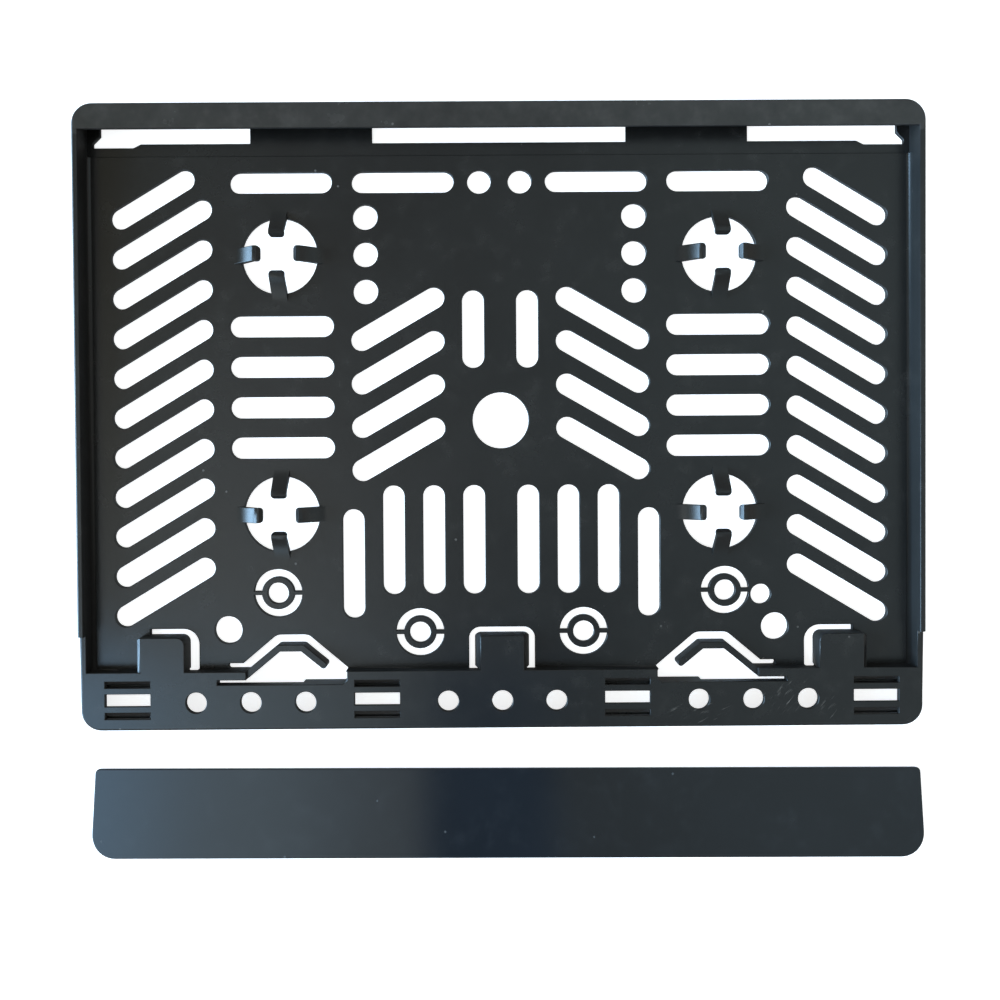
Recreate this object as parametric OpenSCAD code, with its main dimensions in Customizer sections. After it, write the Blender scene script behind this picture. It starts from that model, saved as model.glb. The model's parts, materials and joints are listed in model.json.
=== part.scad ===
// Number plate holder for a two-line plate: a moulded tray and its clip-on retaining strip.
// Millimetres. X to the right, Y up the plate, Z towards the viewer, and Z = 0 is the back face.
// The origin is the middle of the screw-slot field on the back face. The strip lies taken off,
// below the tray, propped on its own hooks.

/* [Frame] */
// Overall width of the frame
frame_w = 291; // [288:1:300]
// Overall height of the frame
frame_h = 215; // [212:1:222]
// How far the middle of the frame lies below the middle of the screw-slot field
frame_drop = 11; // [10:0.5:12]
// Overall depth of the frame, from the back face to the front of its rim
frame_d = 11; // [10.5:0.25:14]
// Radius of the four outer corners
corner_r = 7; // [5:0.5:9]
// Thickness of the walls round the tray
wall_t = 2; // [1.6:0.1:2.4]
// Thickness of the back plate
plate_t = 2; // [1.6:0.1:2.6]
// Radius of the fillet where a side wall meets the back plate
foot_r = 1.5; // [0.5:0.25:1.75]
// Height above the back plate at which the number plate is seated
seat_h = 6.4; // [5.5:0.1:6.8]

/* [Top rail] */
// Width of the lip that holds the number plate's upper edge
lip_w = 8.8; // [6:0.2:9]
// Thickness of the lip
lip_t = 1.6; // [1.2:0.1:2]
// Width of the channel floor below the outer top edge
rail_floor_w = 16; // [14.5:0.1:17]
// Depth of the channel floor below the face of the back plate
rail_recess = 0.6; // [0.3:0.1:1]
// Length of the middle window behind the lip
window_mid_w = 88.6; // [80:0.2:96]
// Length of each side window behind the lip
window_side_w = 54.7; // [50:0.1:58]
// Distance of a side window's outer end from the outer side of the frame
window_side_inset = 4; // [3.75:0.25:6]
// Distance of the other windows' lower edge from the outer top edge
window_mid_low = 11.5; // [10.5:0.1:11.8]
// Distance of a side window's lowest edge from the outer top edge
window_side_low = 12.8; // [12:0.1:13.5]
// Length of that lower stretch at the outer end of a side window
window_step_l = 14; // [10:0.5:20]
// Chamfer at the outer end of a side window, below the lip
window_chamfer = 2.5; // [1:0.1:3]

/* [Bottom band] */
// Height of the raised band
band_h = 20.1; // [19.4:0.1:20.5]
// Thickness of the band's front wall
band_t = 2; // [1.6:0.1:2.4]
// Height of the lowered side walls above the bottom edge
cheek_h = 32.8; // [31:0.1:34]
// Diameter of the screw holes in the band
band_hole_d = 7.2; // [5:0.1:7.4]
// Height of the screw holes above the bottom edge
band_hole_up = 9.5; // [9:0.1:9.6]
// Distance of the inner pair of band holes from the middle
band_hole_near = 18.75; // [17:0.25:20]
// Distance of the first of the three outer band holes from the middle
band_hole_far = 68; // [66.5:0.1:69]
// Spacing of the three outer band holes
band_hole_pitch = 18.9; // [18.25:0.05:19]
// Thickness of the stiffening ribs behind the band
rib_t = 1.5; // [1:0.1:2]

/* [Clip sockets] */
// Distance of the inner sockets from the middle
socket_near = 43.3; // [40:0.1:44]
// Distance of the outer sockets from the outer side of the frame
socket_inset = 16.1; // [15:0.1:17]
// Height of the sockets above the bottom edge
socket_up = 10.5; // [10:0.1:10.6]
// Length of the slots of a socket
socket_w = 15.6; // [13:0.2:16]
// Height of the middle slot, which takes the hook
socket_slot_h = 4.2; // [4:0.1:4.5]
// Height of each springy bar beside the middle slot
socket_bar_h = 2.2; // [1.6:0.1:2.3]
// Height of the slit behind each springy bar
socket_slit_h = 2.2; // [1.6:0.1:2.3]
// Thickness of the springy bars, front to back
socket_bar_t = 1.2; // [1:0.1:1.5]

/* [Tabs] */
// Width of a tab's front face
tab_w = 15.1; // [12:0.1:15.5]
// Height of a tab above the band
tab_h = 11.9; // [10.5:0.1:12.5]
// Thickness of a tab's front wall
tab_t = 1.8; // [1.4:0.1:2.2]
// How much wider the middle tab grows on each side from its front face to the back face
tab_draft = 2; // [0.8:0.1:2.2]
// Radius of the upper corners of a tab, seen from the front
tab_corner_r = 2.6; // [2:0.1:3]
// Width of the chamfer on a side tab's outer front edge
tab_edge_w = 1.5; // [1:0.1:2]
// Drop of that chamfer
tab_edge_drop = 1; // [0.6:0.1:1.5]
// How far a side tab's outer side stands beyond its front face at the back
tab_foot = 2.4; // [2.2:0.1:2.8]
// Distance of the side tabs from the outer side of the frame
tab_inset = 28.2; // [27.5:0.1:28.5]
// Gap between the middle tab's front face and the edge of its window
tab_gap_mid = 4.0; // [3:0.1:5.5]
// Gap between a side tab and the inner edge of its window
tab_gap_side = 3.5; // [3:0.1:4.5]
// Gap above the tabs
tab_gap_top = 2.0; // [1.8:0.1:2.8]
// How far a side tab's window reaches past the tab's centre line
tab_window_reach = 6; // [4:0.25:6.5]
// How far the windows round the tabs are let into the band's upper wall, behind its front wall
tab_window_sink = 0.9; // [0.4:0.1:1.2]
// Radius of the upper corners of the window round the middle tab
tab_window_r = 4; // [3:0.5:5]
// Radius of the inner corner of the window round a side tab
tab_window_side_r = 5.5; // [4:0.5:6.5]

/* [Spring fingers] */
// Distance of the finger holes from the middle
finger_x = 76.75; // [76.25:0.05:77.25]
// Height of the upper finger holes above the origin
finger_up = 45.7; // [45:0.1:46]
// Depth of the lower finger holes below the origin
finger_down = 44.4; // [44:0.1:45]
// Diameter of a finger hole
finger_hole_d = 26.5; // [26:0.1:27.4]
// Width of a finger
finger_w = 5.3; // [4.4:0.1:5.8]
// Thickness of a finger
finger_t = 1.5; // [1.2:0.1:2]
// Distance of a finger's root from the centre of its hole
finger_root = 15.8; // [15.2:0.1:16.2]
// Distance of a finger's crest from the centre of its hole
finger_crest = 7.6; // [7.2:0.1:8.2]
// Distance of a finger's tip from the centre of its hole
finger_tip = 5.7; // [5.2:0.1:6]
// How far the tip dips below the crest
finger_dip = 1.3; // [0.8:0.1:1.6]
// Thickness of a finger at its tip
finger_tip_t = 0.9; // [0.6:0.1:1.4]
// Radius of the two corners of a finger's tip
finger_tip_r = 1.2; // [0.6:0.1:1.6]

/* [Leaf springs] */
// Thickness of the leaf
leaf_t = 2.3; // [1.8:0.1:2.5]
// Height of the crown of the leaf above the bottom edge
leaf_up = 27.8; // [26.5:0.1:28]
// Distance of the leaf's crown from the middle, at its inner end
leaf_crown_x = 69.4; // [69:0.1:70.5]
// Length of the leaf's flat crown
leaf_crown_w = 8.1; // [7:0.1:8.5]
// Drop of the leaf's free end below its crown
leaf_tip_drop = 6; // [5:0.1:6.5]
// Slope of the leaf's two arms, in degrees
leaf_slope = 39.5; // [37:0.5:40]
// Clear width of the gap over the leaf's crown
leaf_gap = 2.8; // [2.6:0.1:3.2]
// Slope of the two sides of the window over the leaf, in degrees
leaf_window_slope = 40; // [39.5:0.5:42]
// Chamfer at the lower corner of the window's inner end
leaf_window_chamfer = 1.5; // [0.5:0.1:2.5]
// Width of the slot in the back plate above the tongue that carries the leaf
leaf_plate_slot_w = 1.7; // [1.4:0.1:1.8]
// Distance of that slot's outer end from the middle
leaf_plate_slot_x = 96; // [94:0.25:96.5]
// Height of the tongue
leaf_root_h = 2.9; // [2.7:0.1:3]
// Height of the slot that frees the tongue from the band below it
leaf_slot_h = 1.6; // [1.4:0.1:1.8]
// Distance of that slot's outer end from the middle
leaf_root_x = 98.5; // [97:0.25:99]
// Depth of the rim under the window, outwards from the crown's inner end
leaf_rim_d = 4.2; // [3:0.1:6]

/* [Side slots] */
// Distance of the slanted side slots from the outer side of the frame
side_inset = 27.6; // [27.5:0.1:28.5]
// Length of a side slot
side_l = 39.9; // [36:0.1:40.5]
// Length of the top side slot
side_top_l = 33; // [30:0.1:35]
// Width of a side slot
side_w = 7.3; // [6.5:0.1:8.5]
// Slope of the side slots, in degrees
side_slope = 31; // [29:0.5:33]
// Number of full side slots in a column
side_count = 10; // [8:1:10]
// Spacing of the side slots
side_pitch = 13.9; // [13.5:0.05:13.9]
// Height of the highest full side slot above the origin
side_up = 53.5; // [52.5:0.1:54]

/* [Screw slots] */
// Distance of the level screw slots from the middle
screw_x = 76.3; // [75.5:0.1:76.5]
// Length of a screw slot
screw_l = 36.3; // [33:0.1:36.5]
// Width of a screw slot
screw_w = 7.4; // [6.5:0.05:8.25]
// Number of rows of screw slots
screw_rows = 4; // [2:2:4]
// Spacing of the rows of screw slots
screw_pitch = 14.14; // [13.5:0.02:14.5]
// Distance of the slanted screw slots from the middle
chevron_x = 35.85; // [35.25:0.05:36]
// Length of a slanted screw slot
chevron_l = 36.6; // [34:0.1:37]
// Width of a slanted screw slot
chevron_w = 7.6; // [7:0.1:8.3]
// Slope of the slanted screw slots, in degrees
chevron_slope = 30; // [28:0.5:31]
// Spacing of the slanted screw slots
chevron_pitch = 15.2; // [14.8:0.1:15.4]
// Height of the highest slanted screw slot above the origin
chevron_up = 23.6; // [23:0.1:24]

/* [Upright slots] */
// Distance of the two upper upright slots from the middle
upper_x = 9.47; // [9:0.01:9.75]
// Height of the upper upright slots above the origin
upper_up = 20; // [19:0.25:21]
// Length of an upper upright slot
upper_l = 27.2; // [24:0.1:28]
// Width of every upright slot
upright_w = 7.6; // [6.5:0.1:8.2]
// Distance of the first lower upright slot from the middle
lower_x = 9.5; // [9:0.1:10]
// Spacing of the lower upright slots
lower_pitch = 14.1; // [13.8:0.05:14.2]
// Length of a lower upright slot
lower_l = 38.3; // [35:0.1:38.5]
// Depth of the three inner lower slots below the origin
lower_down = 53.8; // [53:0.05:54]
// How much deeper the outermost lower slot lies
lower_step = 8.2; // [7.5:0.1:9]

/* [Top row] */
// Height of the top row above the origin
top_up = 71.2; // [70:0.1:71.3]
// Distance of the outer slots of the top row from the middle
top_far = 76.2; // [75.5:0.1:76.5]
// Distance of the inner slots of the top row from the middle
top_near = 33.75; // [33:0.05:34.25]
// Length of a slot of the top row
top_l = 35.6; // [33:0.1:36]
// Width of a slot of the top row
top_w = 7.3; // [6:0.1:7.8]
// Distance of the two holes of the top row from the middle
top_hole_x = 7.1; // [6.5:0.1:7.5]
// Diameter of the two holes of the top row
top_hole_d = 8.2; // [7:0.1:8.5]

/* [Round holes] */
// Diameter of the middle hole
middle_d = 19.6; // [18:0.1:20.4]
// Depth of the middle hole below the origin
middle_down = 12; // [11.5:0.1:12.3]
// Distance of the hole columns from the middle
column_x = 46.9; // [46:0.1:47.5]
// Height of the highest hole of a column above the origin
column_up = 59.1; // [58.5:0.1:59.4]
// Spacing of the holes of a column
column_pitch = 12.95; // [12.5:0.05:13.1]
// Diameter of the holes of a column
column_d = 8.7; // [7.5:0.1:9]
// Diameter of the screw hole in a break-out ring
ring_hole_d = 7.3; // [5.5:0.1:7.4]
// Outer diameter of a break-out ring
ring_d = 11.5; // [10.5:0.1:12]
// Outer diameter of the slots round a break-out ring
ring_slot_d = 16.8; // [16:0.1:17]
// Width of the two webs that hold a break-out ring
ring_web = 1.4; // [0.8:0.1:1.6]
// Distance of the upper rings from the middle
ring_far = 78.4; // [77.5:0.1:78.6]
// Depth of the upper rings below the origin
ring_far_down = 72.1; // [71.5:0.1:72.2]
// Distance of the lower rings from the middle
ring_near = 28.7; // [28:0.1:29.5]
// Depth of the lower rings below the origin
ring_near_down = 86.2; // [85.5:0.1:86.5]
// Diameter of the two large corner holes
corner_hole_d = 9.6; // [8.5:0.1:9.8]
// Distance of the large corner holes from the middle
corner_hole_x = 95.9; // [95.2:0.1:96.2]
// Depth of the large corner holes below the origin
corner_hole_down = 84.95; // [84.25:0.05:85]
// Diameter of the single small hole beside the right upper ring
extra_hole_d = 7.1; // [6:0.1:7.2]
// Distance of the single small hole from the middle
extra_hole_x = 91; // [90.5:0.1:91]
// Depth of the single small hole below the origin
extra_hole_down = 73.6; // [72.8:0.1:73.6]

/* [Retaining strip] */
// Height of the strip
strip_h = 30.3; // [29:0.1:31.5]
// Thickness of the strip
strip_t = 1.6; // [1.2:0.1:2]
// Radius of the strip's two lower corners
strip_low_r = 8.5; // [6:0.5:10]
// Radius of the strip's two upper corners
strip_top_r = 1.5; // [0.5:0.25:3]
// How far the strip stays inside each side and the bottom edge of the frame
strip_play = 0.1; // [0.1:0.05:0.5]
// Room left behind the strip for the number plate
plate_gap = 1; // [0.8:0.1:1.2]
// Width of the spacing rib behind the strip's lower edge and ends
strip_rib_w = 1.6; // [1:0.1:2]
// Clearance between a hook and its socket, on every side
hook_play = 0.3; // [0.15:0.05:0.4]
// Height of the barbs behind a springy bar
barb_d = 0.8; // [0.6:0.1:1.2]
// How far a barb stands out above and below its hook
barb_out = 0.7; // [0.5:0.1:0.9]

/* [Layout] */
// Gap between the frame and the upper edge of the strip that lies below it
strip_gap = 16.3; // [8:0.1:30]
// How far the strip lies to the right of the frame's middle
strip_shift = 2; // [-4:0.25:4]
// Turn of the strip on the table, in degrees
strip_turn = -0.3; // [-1:0.1:1]

/* [Hidden] */
$fn = 48;
over = 1;

half_w = frame_w / 2;
top_y = frame_h / 2 - frame_drop;
bottom_y = -frame_h / 2 - frame_drop;
seat_z = plate_t + seat_h;
band_y = bottom_y + band_h;
cheek_y = bottom_y + cheek_h;
band_hole_y = bottom_y + band_hole_up;
socket_y = bottom_y + socket_up;
socket_far = half_w - socket_inset;
tab_x = half_w - tab_inset;
tab_y = band_y + tab_h;
lip_y = top_y - lip_w;
side_x = half_w - side_inset;
leaf_y = bottom_y + leaf_up;
root_y = band_y - leaf_root_h / 2;
root_slot_y = band_y - leaf_root_h - leaf_slot_h;
crown_out_x = leaf_crown_x + leaf_crown_w;
arm_root_x = crown_out_x + (leaf_y - root_y) / tan(leaf_slope);
arm_tip_x = leaf_crown_x - leaf_tip_drop / tan(leaf_slope);
leaf_reach = leaf_gap + leaf_t / 2;
leaf_window_h = leaf_y + leaf_reach * cos(leaf_window_slope) - band_y;
leaf_window_in = leaf_crown_x - leaf_reach * sin(leaf_window_slope) - leaf_window_h / tan(leaf_window_slope);
rib_clear = seat_z - band_t;
guide_z = seat_z - socket_bar_t - band_t;
guide_lap = 0.4;
leaf_window_x = leaf_window_in - guide_lap;
hook_l = plate_gap + socket_bar_t + barb_d;
hook_t = socket_slot_h - 2 * hook_play;
hook_w = socket_w - 2 * hook_play;
strip_w = frame_w - 2 * strip_play;
hook_down = strip_h - (socket_up - strip_play);
strip_tilt = atan(hook_l / (hook_down - hook_t / 2));

plastic = [0.13, 0.135, 0.14];
strip_plastic = [0.1, 0.11, 0.125];

// A rectangle with its four corners rounded by true arcs
module rounded_rect(w, h, r) {
    square([w - 2 * r, h], center = true);
    square([w, h - 2 * r], center = true);
    for (sx = [-1, 1], sy = [-1, 1]) translate([sx * (w / 2 - r), sy * (h / 2 - r)]) circle(r);
}

// A slot with round ends: l is its whole length, w its width
module slot(l, w, slope = 0) {
    rotate(slope) {
        square([l - w, w], center = true);
        for (s = [-1, 1]) translate([s * (l - w) / 2, 0]) circle(d = w);
    }
}

// A bar of width w with round ends, from point a to point b
module bar(a, b, w) {
    d = b - a;
    translate((a + b) / 2) slot(norm(d) + w, w, atan2(d[1], d[0]));
}

// Whatever is drawn on the right, and its mirror image on the left
module both_sides() {
    for (s = [0, 1]) mirror([s, 0, 0]) children();
}

// The outline of the whole frame
module frame_outline() {
    translate([0, -frame_drop]) rounded_rect(frame_w, frame_h, corner_r);
}

// The outline of the tray's inside
module tray_outline() {
    translate([0, -frame_drop])
        rounded_rect(frame_w - 2 * wall_t, frame_h - 2 * wall_t, corner_r - wall_t);
}

// A level stretch of the frame between two heights on the Y axis
module stretch(y0, y1, margin = 0) {
    translate([-half_w + margin, y0]) square([frame_w - 2 * margin, y1 - y0]);
}

module side_slots() {
    for (i = [0 : side_count - 1])
        translate([side_x, side_up - i * side_pitch]) slot(side_l, side_w, -side_slope);
    translate([side_x, side_up + side_pitch]) rotate(-side_slope)
        translate([(side_l - side_top_l) / 2, 0]) slot(side_top_l, side_w);
}

module screw_slots() {
    for (i = [0 : screw_rows - 1])
        translate([screw_x, (i - (screw_rows - 1) / 2) * screw_pitch]) slot(screw_l, screw_w);
    for (i = [0 : 3])
        translate([chevron_x, chevron_up - i * chevron_pitch]) slot(chevron_l, chevron_w, -chevron_slope);
}

module upright_slots() {
    translate([upper_x, upper_up]) slot(upper_l, upright_w, 90);
    for (i = [0 : 2])
        translate([lower_x + i * lower_pitch, -lower_down]) slot(lower_l, upright_w, 90);
    translate([lower_x + 3 * lower_pitch, -lower_down - lower_step]) slot(lower_l, upright_w, 90);
}

module top_row() {
    for (x = [top_far, top_near]) translate([x, top_up]) slot(top_l, top_w);
    translate([top_hole_x, top_up]) circle(d = top_hole_d);
}

module hole_columns() {
    for (i = [0 : 2]) translate([column_x, column_up - i * column_pitch]) circle(d = column_d);
    translate([corner_hole_x, -corner_hole_down]) circle(d = corner_hole_d);
}

// A screw hole whose ring can be broken out for a larger bolt
module break_out_ring() {
    circle(d = ring_hole_d);
    difference() {
        circle(d = ring_slot_d);
        circle(d = ring_d);
        square([ring_slot_d + over, ring_web], center = true);
    }
}

module rings() {
    translate([ring_far, -ring_far_down]) break_out_ring();
    translate([ring_near, -ring_near_down]) break_out_ring();
}

module finger_holes() {
    for (y = [finger_up, -finger_down]) translate([finger_x, y]) circle(d = finger_hole_d);
}

// A window behind the lip beside the middle one, drawn on the right
module side_window() {
    outer = half_w - window_side_inset;
    inner = outer - window_side_w;
    corner = outer - window_chamfer;
    step = outer - window_step_l;
    high = top_y - wall_t;
    low = top_y - window_side_low;
    floor_y = top_y - window_mid_low;
    polygon([[inner, high], [corner, high], [corner, lip_y], [outer, lip_y - window_chamfer], [outer, low],
             [step, low], [step - 2 * (floor_y - low), floor_y], [inner, floor_y]]);
}

// Windows behind the lip, which the mould needs to form its underside
module rail_windows() {
    translate([-window_mid_w / 2, top_y - window_mid_low]) square([window_mid_w, window_mid_low - wall_t]);
    both_sides() side_window();
}

// The window round a leaf spring and the slots at its root, drawn on the right
module leaf_window() {
    crown_in = [leaf_crown_x, leaf_y];
    crown_out = [crown_out_x, leaf_y];
    fall = leaf_y - root_slot_y;
    run = fall / tan(leaf_window_slope);
    slot_y = band_y + leaf_plate_slot_w / 2;
    intersection() {
        union() {
            bar(crown_in, crown_out, 2 * leaf_reach);
            bar(crown_in, crown_in - [run, fall], 2 * leaf_reach);
            bar(crown_out, crown_out + [run, -fall], 2 * leaf_reach);
            polygon([crown_in, crown_out, crown_out + [run, -fall], crown_in - [run, fall]]);
        }
        union() {
            polygon([[leaf_window_x, band_y + frame_h], [leaf_window_x, root_slot_y + leaf_window_chamfer],
                     [leaf_window_x + leaf_window_chamfer, root_slot_y], [arm_root_x, root_slot_y],
                     [arm_root_x, band_y + frame_h]]);
            translate([arm_root_x, band_y]) square([leaf_root_x - arm_root_x, frame_h]);
        }
    }
    bar([arm_root_x, slot_y], [leaf_plate_slot_x - leaf_plate_slot_w / 2, slot_y], leaf_plate_slot_w);
    translate([arm_root_x - over, root_slot_y]) square([leaf_root_x - arm_root_x + over, leaf_slot_h]);
}

// The leaf itself, a flexible arm with a flat crown and a free end
module leaf() {
    crown_in = [leaf_crown_x, leaf_y];
    crown_out = [crown_out_x, leaf_y];
    root = [arm_root_x, root_y];
    tip = [arm_tip_x, leaf_y - leaf_tip_drop];
    bar(root, crown_out, leaf_t);
    bar(crown_out, crown_in, leaf_t);
    bar(crown_in, tip, leaf_t);
    bar(root, root + [leaf_root_x - arm_root_x, 0], leaf_t);
}

// The window in the back plate round the middle tab
module tab_window_mid() {
    r = tab_window_r;
    w = tab_w + 2 * tab_gap_mid;
    y1 = tab_y + tab_gap_top;
    translate([-w / 2, band_y - over]) square([w, y1 - r - band_y + over]);
    translate([-w / 2 + r, band_y]) square([w - 2 * r, y1 - band_y]);
    for (s = [-1, 1]) translate([s * (w / 2 - r), y1 - r]) circle(r);
}

// The window beside and above the right-hand tab, open on its inner side only
module tab_window_side() {
    r = tab_window_side_r;
    inner = tab_x - tab_w / 2 - tab_gap_side;
    outer = tab_x + tab_window_reach;
    y1 = tab_y + tab_gap_top;
    translate([inner, band_y - over]) square([outer - inner, y1 - r - band_y + over]);
    translate([inner + r, band_y]) square([outer - inner - r, y1 - band_y]);
    translate([inner + r, y1 - r]) circle(r);
}

// Every opening that goes through the back plate
module plate_openings() {
    both_sides() {
        side_slots();
        screw_slots();
        upright_slots();
        top_row();
        hole_columns();
        rings();
        finger_holes();
        tab_window_side();
    }
    translate([0, -middle_down]) circle(d = middle_d);
    translate([extra_hole_x, -extra_hole_down]) circle(d = extra_hole_d);
    rail_windows();
    tab_window_mid();
}

// The back plate down to the band, with the channel floor let into its face
module back_plate() {
    difference() {
        linear_extrude(plate_t) difference() {
            intersection() {
                frame_outline();
                stretch(band_y - over, top_y);
            }
            plate_openings();
        }
        translate([0, 0, plate_t - rail_recess])
            linear_extrude(rail_recess + over)
                stretch(top_y - rail_floor_w, top_y - wall_t, wall_t);
    }
}

// The walls round the tray, lower beside the strip
module walls() {
    linear_extrude(seat_z) difference() {
        frame_outline();
        tray_outline();
    }
    linear_extrude(frame_d) difference() {
        intersection() {
            frame_outline();
            stretch(cheek_y, top_y);
        }
        tray_outline();
    }
    foot_l = top_y - rail_floor_w - band_y;
    both_sides() translate([half_w - wall_t, band_y, plate_t]) rotate([-90, 0, 0])
        linear_extrude(foot_l) difference() {
            translate([-foot_r, -foot_r]) square(foot_r);
            translate([-foot_r, -foot_r]) circle(foot_r);
        }
}

module lip() {
    translate([0, 0, frame_d - lip_t]) linear_extrude(lip_t) intersection() {
        frame_outline();
        stretch(top_y - lip_w, top_y);
    }
}

// The three slots of one clip socket
module socket_slots() {
    square([socket_w, socket_slot_h], center = true);
    for (s = [-1, 1])
        translate([0, s * (socket_slot_h / 2 + socket_bar_h + socket_slit_h / 2)])
            square([socket_w, socket_slit_h], center = true);
}

// A level box behind the band between two heights, in the band's own cavity
module cavity_block(x0, x1, y0, y1, z1) {
    translate([x0, y0, 0]) cube([x1 - x0, y1 - y0, z1]);
}

// The two guide ribs behind a clip socket, which reach outwards to the wall that carries them
module socket_guides(x, carrier_x) {
    reach = socket_slot_h / 2 + socket_bar_h;
    high = socket_y + reach + guide_lap;
    low = socket_y - reach - socket_slit_h + guide_lap;
    x0 = x - socket_w / 2 - rib_t;
    cavity_block(x0, carrier_x, high - rib_t, high, guide_z);
    cavity_block(x0, carrier_x, bottom_y + wall_t / 2, low, guide_z);
}

function band_holes() = concat([0, band_hole_near], [for (i = [0 : 2]) band_hole_far + i * band_hole_pitch]);

// The raised band: front wall, upper wall, ribs and socket guides
module band_body() {
    intersection() {
        union() {
            translate([0, 0, seat_z - band_t]) linear_extrude(band_t) intersection() {
                frame_outline();
                stretch(bottom_y, band_y);
            }
            translate([-half_w, band_y - leaf_root_h, 0]) cube([frame_w, leaf_root_h, seat_z]);
            both_sides() {
                socket_guides(socket_near, leaf_window_x - rib_t / 2);
                socket_guides(socket_far, half_w - wall_t / 2);
                for (x = [(band_hole_near + socket_near) / 2, tab_x - rib_t / 2])
                    cavity_block(x, x + rib_t, bottom_y + wall_t / 2, band_y, rib_clear);
                cavity_block(leaf_window_x - rib_t, leaf_crown_x, root_slot_y - rib_t, band_y, seat_z);
                translate([0, 0, seat_z - leaf_rim_d])
                    cavity_block(leaf_crown_x, leaf_root_x + rib_t, root_slot_y - rib_t, band_y, leaf_rim_d);
            }
        }
        linear_extrude(seat_z) frame_outline();
    }
}

// What is cut from the band once its body stands
module band_cuts() {
    both_sides() {
        for (x = band_holes())
            translate([x, band_hole_y, -over]) cylinder(d = band_hole_d, h = seat_z + 2 * over);
        for (x = [socket_near, socket_far]) {
            translate([x, socket_y, guide_z]) linear_extrude(seat_z) socket_slots();
            translate([x, socket_y, guide_z])
                linear_extrude(band_t) square([socket_w, socket_slot_h + 2 * socket_bar_h], center = true);
        }
    }
}

// A tab's shape seen from the front: straight sides and two rounded upper corners
module tab_front(x0, x1, y0, y1, r) {
    translate([x0, y0]) square([x1 - x0, y1 - r - y0]);
    translate([x0 + r, y0]) square([x1 - x0 - 2 * r, y1 - y0]);
    for (x = [x0 + r, x1 - r]) translate([x, y1 - r]) circle(r);
}

// The middle tab's cross-section, inset on every side but the back, with draft on both sides
module mid_section(inset) {
    front = tab_w / 2 - inset;
    back = front + tab_draft;
    z1 = seat_z - inset;
    polygon([[-back, 0], [back, 0], [front, z1], [-front, z1]]);
}

// A side tab's cross-section: upright on its inner side, chamfered and nearly upright on its outer side
module side_section(inset) {
    w = tab_w / 2 - inset;
    z1 = seat_z - inset;
    polygon([[-w, 0], [w + tab_foot, 0], [w + tab_edge_w, z1 - tab_edge_drop], [w, z1], [-w, z1]]);
}

// A section extruded up the plate between two heights
module rise(y0, y1) {
    translate([0, y1, 0]) rotate([90, 0, 0]) linear_extrude(y1 - y0) children();
}

// The three tabs, or with an inset the hollows behind them
module tab_set(inset, y0) {
    r = tab_corner_r - inset / 2;
    y1 = tab_y - inset;
    spread = tab_w / 2 + tab_foot - inset;
    intersection() {
        rise(y0, y1) mid_section(inset);
        linear_extrude(seat_z) tab_front(-spread, spread, y0, y1, r);
    }
    both_sides() translate([tab_x, 0, 0]) intersection() {
        rise(y0, y1) side_section(inset);
        linear_extrude(seat_z) tab_front(-tab_w / 2 + inset, spread, y0, y1, r);
    }
}

module tabs() {
    tab_set(0, band_y - over);
}

// The hollow behind each tab, open to the back
module tab_hollows() {
    y0 = band_y - leaf_root_h - over;
    half = tab_w / 2 - tab_t;
    translate([0, 0, -over]) linear_extrude(2 * over) for (x = [-tab_x, 0, tab_x])
        translate([x, 0]) tab_front(-half, half, y0, tab_y - tab_t, tab_corner_r - tab_t / 2);
    tab_set(tab_t, y0);
}

// The stretches of the band's upper wall that the windows beside the tabs are let into
module tab_sinks() {
    y0 = band_y - tab_window_sink;
    room = [0, tab_window_sink, rib_clear + over];
    both_sides() {
        translate([tab_w / 2 - guide_lap, y0, -over]) cube(room + [tab_gap_mid + guide_lap, 0, 0]);
        translate([tab_x - tab_w / 2 - tab_gap_side, y0, -over]) cube(room + [tab_gap_side + guide_lap, 0, 0]);
    }
}

// One finger, drawn along +X from its root outside the hole to its tip inside
module finger() {
    z1 = seat_z;
    r = finger_tip_r;
    profile = [
        [finger_root, plate_t],
        [finger_crest + finger_t / 2, z1],
        [finger_crest - finger_t / 2, z1],
        [finger_tip, z1 - finger_dip],
        [finger_tip, z1 - finger_dip - finger_tip_t],
        [finger_crest, z1 - finger_t],
        [finger_hole_d / 2, plate_t / 2],
        [finger_root, 0],
    ];
    intersection() {
        rotate([90, 0, 0]) translate([0, 0, -finger_w / 2]) linear_extrude(finger_w) polygon(profile);
        linear_extrude(z1) union() {
            translate([finger_tip + r, -finger_w / 2]) square([finger_root - finger_tip, finger_w]);
            translate([finger_tip, -finger_w / 2 + r]) square([finger_root - finger_tip, finger_w - 2 * r]);
            for (s = [-1, 1]) translate([finger_tip + r, s * (finger_w / 2 - r)]) circle(r);
        }
    }
}

module fingers() {
    both_sides() for (y = [finger_up, -finger_down])
        translate([finger_x, y, 0]) for (a = [0 : 90 : 270]) rotate(a) finger();
}

module holder_frame() {
    color(plastic) {
        difference() {
            union() {
                back_plate();
                walls();
                band_body();
                tabs();
            }
            band_cuts();
            tab_hollows();
            tab_sinks();
            both_sides() translate([0, 0, -over]) linear_extrude(seat_z + 2 * over) leaf_window();
        }
        lip();
        fingers();
        both_sides() linear_extrude(rib_clear) leaf();
    }
}

// The strip's outline, with its upper edge on the X axis
module strip_outline() {
    r0 = strip_low_r;
    r1 = strip_top_r;
    difference() {
        translate([-strip_w / 2, -strip_h]) square([strip_w, strip_h]);
        for (s = [-1, 1]) {
            translate([s * strip_w / 2, -strip_h]) corner_cut(r0, -s, 1);
            translate([s * strip_w / 2, 0]) corner_cut(r1, -s, -1);
        }
    }
}

// The sliver outside a rounded corner, towards sx and sy
module corner_cut(r, sx, sy) {
    difference() {
        square(2 * r, center = true);
        translate([sx * r, sy * r]) circle(r);
    }
}

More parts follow.
